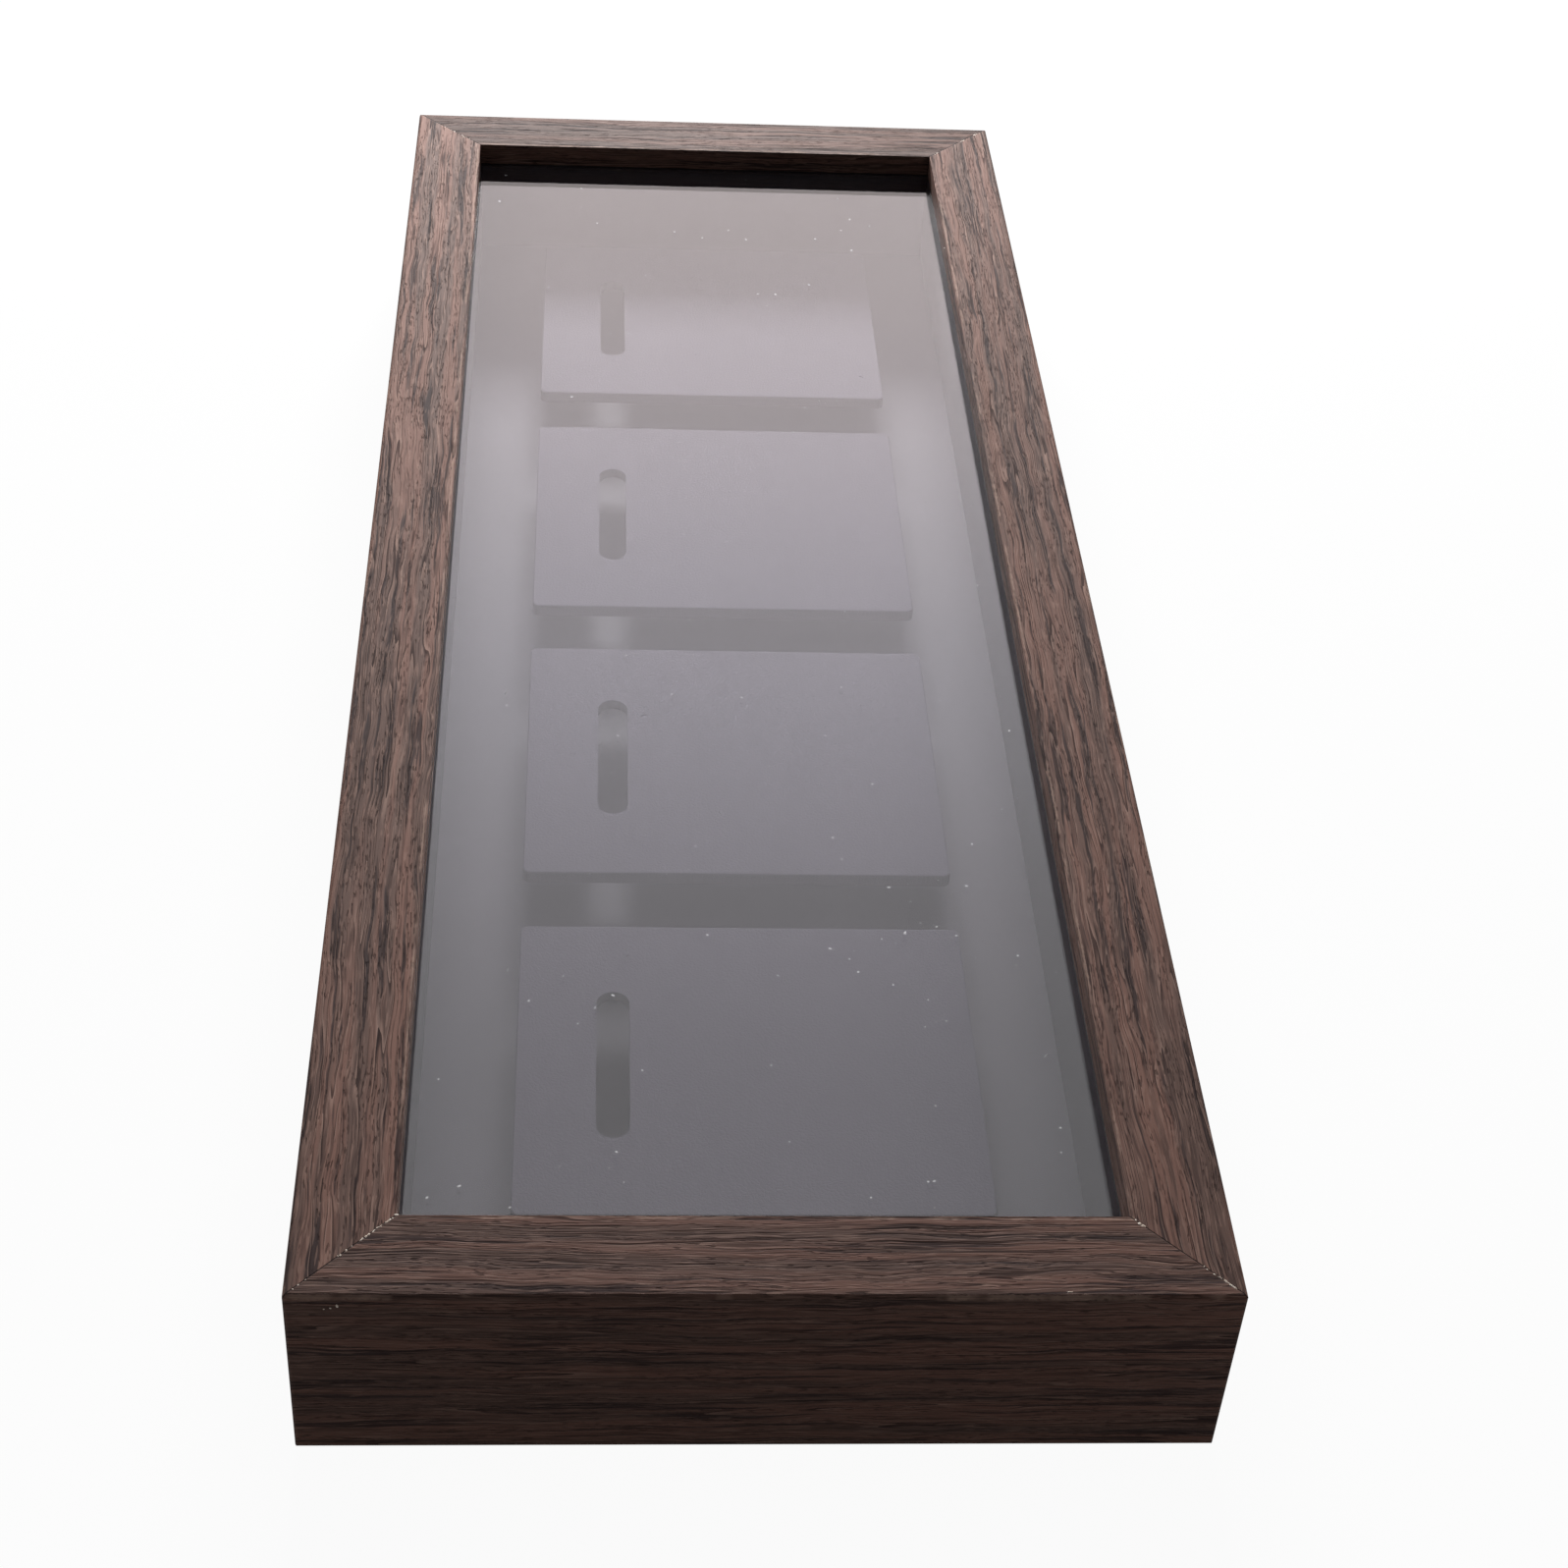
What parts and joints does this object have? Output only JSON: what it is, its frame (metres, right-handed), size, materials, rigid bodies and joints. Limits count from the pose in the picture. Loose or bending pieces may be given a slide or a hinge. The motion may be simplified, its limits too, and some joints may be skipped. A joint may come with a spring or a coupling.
{
  "type": "medal display case",
  "caption": "Shallow glazed box frame with a mitred wood-grain moulding and raised, slotted plaques behind the pane, each to hold a medal by its ribbon.",
  "frame": {"origin": "middle of the case's back, in the plane that it lies or hangs against", "axes": "+Z out through the glazed face, +Y along the case (to the right when it hangs), +X across it, so that the hanging case's top is at -X"},
  "size_m": [0.2, 0.53, 0.05],
  "materials": {
    "wood_wrap": "satin",
    "clear_glass": "gloss",
    "black_liner": "matte",
    "black_cloth": "matte",
    "board": "matte",
    "spacer_wood": "matte",
    "hardboard": "matte",
    "black_leatherette": "satin",
    "plated_steel": "satin"
  },
  "bodies": {
    "case": {"button_screws": "plated_steel", "display_board": "board", "display_board_cover": "black_cloth", "hanger_screws": "plated_steel", "hanger_strap_left": "plated_steel", "hanger_strap_right": "plated_steel", "liner_bottom": "black_liner", "liner_left": "black_liner", "liner_right": "black_liner", "liner_top": "black_liner", "pane": "clear_glass", "plaque_1_board": "board", "plaque_1_cover": "black_leatherette", "plaque_2_board": "board", "plaque_2_cover": "black_leatherette", "plaque_3_board": "board", "plaque_3_cover": "black_leatherette", "plaque_4_board": "board", "plaque_4_cover": "black_leatherette", "rail_bottom": "wood_wrap", "rail_left": "wood_wrap", "rail_right": "wood_wrap", "rail_top": "wood_wrap", "rear_panel": "hardboard", "spacer_1_left": "spacer_wood", "spacer_1_right": "spacer_wood", "spacer_2_left": "spacer_wood", "spacer_2_right": "spacer_wood", "spacer_3_left": "spacer_wood", "spacer_3_right": "spacer_wood", "spacer_4_left": "spacer_wood", "spacer_4_right": "spacer_wood", "v_nails": "plated_steel"},
    "button_top_1": {"turn_button_top_1": "plated_steel"},
    "button_bottom_1": {"turn_button_bottom_1": "plated_steel"},
    "button_top_2": {"turn_button_top_2": "plated_steel"},
    "button_bottom_2": {"turn_button_bottom_2": "plated_steel"},
    "button_top_3": {"turn_button_top_3": "plated_steel"},
    "button_bottom_3": {"turn_button_bottom_3": "plated_steel"},
    "button_left_1": {"turn_button_left_1": "plated_steel"},
    "button_right_1": {"turn_button_right_1": "plated_steel"},
    "ring_left": {"hanger_ring_left": "plated_steel"},
    "ring_right": {"hanger_ring_right": "plated_steel"}
  },
  "joints": [
    {"name": "button_top_1_turn", "type": "hinge", "parent": "case", "child": "button_top_1", "pos_m": [-0.089, -0.18, 0.00335], "axis": [0, 0, 1], "range_deg": [-95, 95]},
    {"name": "button_bottom_1_turn", "type": "hinge", "parent": "case", "child": "button_bottom_1", "pos_m": [0.089, -0.18, 0.00335], "axis": [0, 0, 1], "range_deg": [-95, 95]},
    {"name": "button_top_2_turn", "type": "hinge", "parent": "case", "child": "button_top_2", "pos_m": [-0.089, 0, 0.00335], "axis": [0, 0, 1], "range_deg": [-95, 95]},
    {"name": "button_bottom_2_turn", "type": "hinge", "parent": "case", "child": "button_bottom_2", "pos_m": [0.089, 0, 0.00335], "axis": [0, 0, 1], "range_deg": [-95, 95]},
    {"name": "button_top_3_turn", "type": "hinge", "parent": "case", "child": "button_top_3", "pos_m": [-0.089, 0.18, 0.00335], "axis": [0, 0, 1], "range_deg": [-95, 95]},
    {"name": "button_bottom_3_turn", "type": "hinge", "parent": "case", "child": "button_bottom_3", "pos_m": [0.089, 0.18, 0.00335], "axis": [0, 0, 1], "range_deg": [-95, 95]},
    {"name": "button_left_1_turn", "type": "hinge", "parent": "case", "child": "button_left_1", "pos_m": [0, -0.254, 0.00335], "axis": [0, 0, 1], "range_deg": [-95, 95]},
    {"name": "button_right_1_turn", "type": "hinge", "parent": "case", "child": "button_right_1", "pos_m": [0, 0.254, 0.00335], "axis": [0, 0, 1], "range_deg": [-95, 95]},
    {"name": "ring_left_fold", "type": "hinge", "parent": "case", "child": "ring_left", "pos_m": [-0.062, -0.253, 0.00222], "axis": [0, -1, 0], "range_deg": [0, 170]},
    {"name": "ring_right_fold", "type": "hinge", "parent": "case", "child": "ring_right", "pos_m": [-0.062, 0.253, 0.00222], "axis": [0, -1, 0], "range_deg": [0, 170]}
  ]
}
